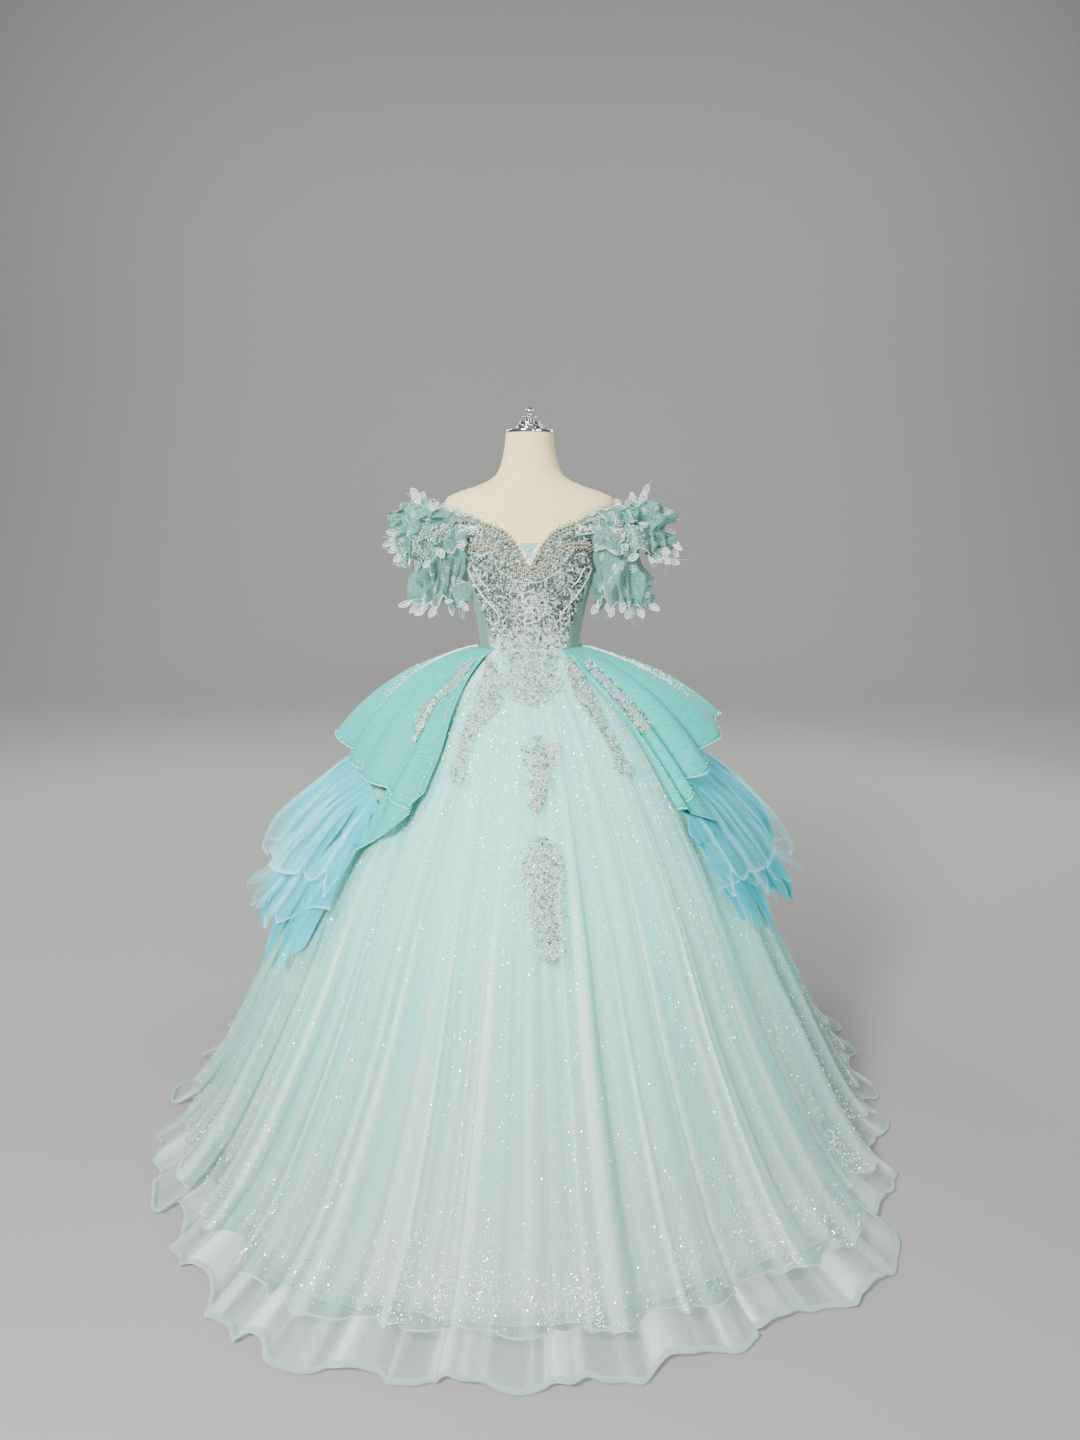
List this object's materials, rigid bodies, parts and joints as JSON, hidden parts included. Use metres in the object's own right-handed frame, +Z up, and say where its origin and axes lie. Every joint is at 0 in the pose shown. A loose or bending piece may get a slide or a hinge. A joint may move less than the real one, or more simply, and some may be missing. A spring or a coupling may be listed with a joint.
{
  "type": "ball gown on a dress form",
  "caption": "Off-shoulder ball gown with a beaded boned bodice, lace sleeves, side drapes, a tulle bustle and a full tulle skirt, on a limbless dress form with a flat foot.",
  "frame": {"origin": "centre of the underside of the stand's flat foot, on the ground", "axes": "+Z up along the pole, gown's front faces -Y, the wearer's left side is +X"},
  "size_m": [1.7352, 1.9738, 1.65],
  "materials": {
    "form_jersey": "cream cotton jersey stretched over a moulded form, matt",
    "polished_cap": "turned cap, polished, with clear discs",
    "painted_stand": "powder-coated steel pole and foot, satin",
    "bodice_satin": "pale aqua-grey satin under lace, soft sheen",
    "beaded_lace": "corded lace covered with silver and crystal beads",
    "pearl_trim": "cream pearls and crystals sewn in rows, glossy",
    "skirt_tulle": "pale aqua soft tulle with fine glitter, sheer",
    "glitter_underskirt": "cream glitter tulle over lining",
    "satin_organza": "aqua sparkle organza over satin, crisp",
    "bustle_tulle": "bright blue gathered tulle",
    "sleeve_lace": "aqua lace with raised leaves and beads",
    "horsehair_braid": "pale stiffening braid along the hem"
  },
  "bodies": {
    "root": {"form_torso": "form_jersey", "form_neck_cap": "polished_cap", "form_pole": "painted_stand", "form_foot": "painted_stand", "bodice_front": "bodice_satin", "bodice_side_front_left": "bodice_satin", "bodice_side_left": "bodice_satin", "bodice_back_left": "bodice_satin", "bodice_side_front_right": "bodice_satin", "bodice_side_right": "bodice_satin", "bodice_back_right": "bodice_satin", "neckline_insert": "bodice_satin", "neckline_pearls_upper": "pearl_trim", "neckline_pearls_lower": "pearl_trim", "underskirt": "glitter_underskirt", "tulle_front": "skirt_tulle", "hem_band_front": "skirt_tulle", "hem_braid_front": "horsehair_braid", "tulle_side_left": "skirt_tulle", "hem_band_side_left": "skirt_tulle", "hem_braid_side_left": "horsehair_braid", "tulle_back_left": "skirt_tulle", "hem_band_back_left": "skirt_tulle", "hem_braid_back_left": "horsehair_braid", "tulle_back_right": "skirt_tulle", "hem_band_back_right": "skirt_tulle", "hem_braid_back_right": "horsehair_braid", "tulle_side_right": "skirt_tulle", "hem_band_side_right": "skirt_tulle", "hem_braid_side_right": "horsehair_braid", "waist_lace": "beaded_lace", "lace_motif_upper": "beaded_lace", "lace_motif_lower": "beaded_lace", "lance_inner_left": "beaded_lace", "lance_inner_right": "beaded_lace", "lance_outer_left": "beaded_lace", "lance_outer_right": "beaded_lace", "sleeve_band_left": "bodice_satin", "sleeve_ruffle_left": "sleeve_lace", "sleeve_fall_left": "sleeve_lace", "drape_left": "satin_organza", "drape_point_left": "satin_organza", "bustle_upper_left": "bustle_tulle", "bustle_lower_left": "bustle_tulle", "sleeve_band_right": "bodice_satin", "sleeve_ruffle_right": "sleeve_lace", "sleeve_fall_right": "sleeve_lace", "drape_right": "satin_organza", "drape_point_right": "satin_organza", "bustle_upper_right": "bustle_tulle", "bustle_lower_right": "bustle_tulle"}
  },
  "joints": []
}
